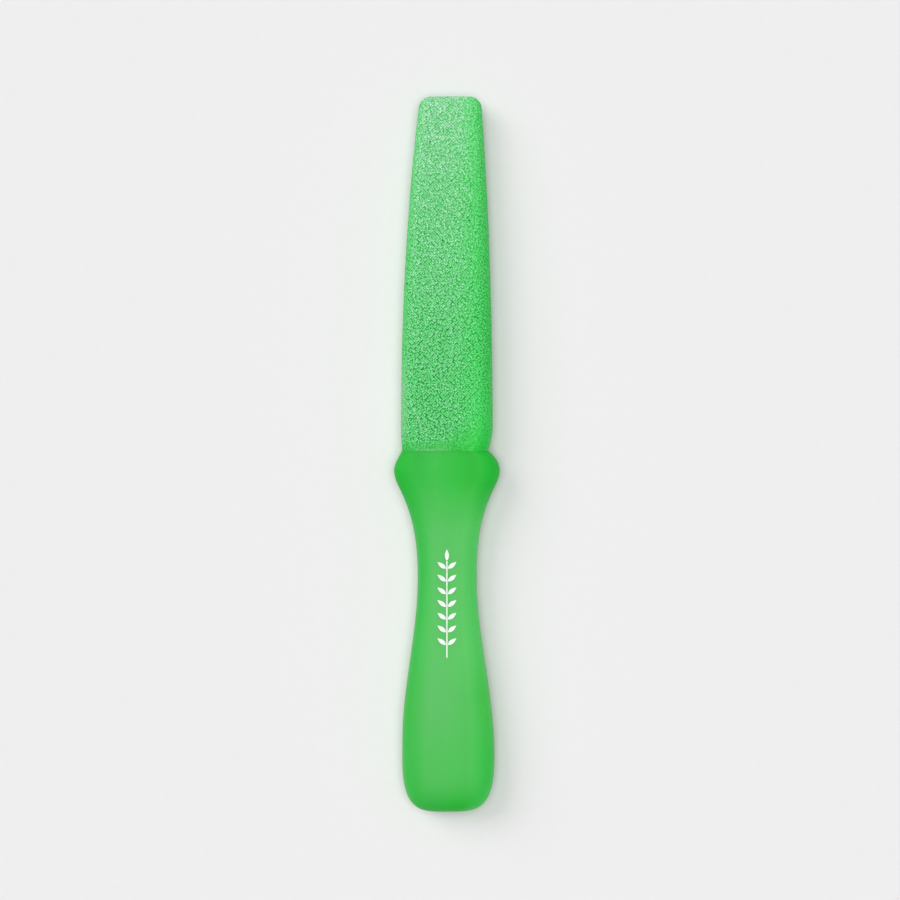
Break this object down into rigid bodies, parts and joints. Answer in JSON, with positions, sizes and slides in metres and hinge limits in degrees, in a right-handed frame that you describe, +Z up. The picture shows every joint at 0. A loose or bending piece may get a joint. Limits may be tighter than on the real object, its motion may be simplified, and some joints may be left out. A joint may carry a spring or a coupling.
{
  "type": "two-sided hand file",
  "caption": "Flat two-sided hand file: a tapered round-edged blade with a grit coat on each face, and a waisted moulded grip with a flared collar and a blunt butt.",
  "frame": {"origin": "centre of the footprint, on the surface that the file lies on", "axes": "+Y from the butt to the blade's tip, +Z up through the front face, +X to the right when the front face is seen with the tip away"},
  "size_m": [0.028, 0.19, 0.0096],
  "materials": {
    "core_plastic": "satin",
    "coarse_grit": "matte",
    "fine_grit": "matte",
    "grip_plastic": "satin"
  },
  "bodies": {
    "root": {"blade_core": "core_plastic", "front_coarse_coat": "coarse_grit", "back_fine_coat": "fine_grit", "handle_grip": "grip_plastic"}
  },
  "joints": []
}
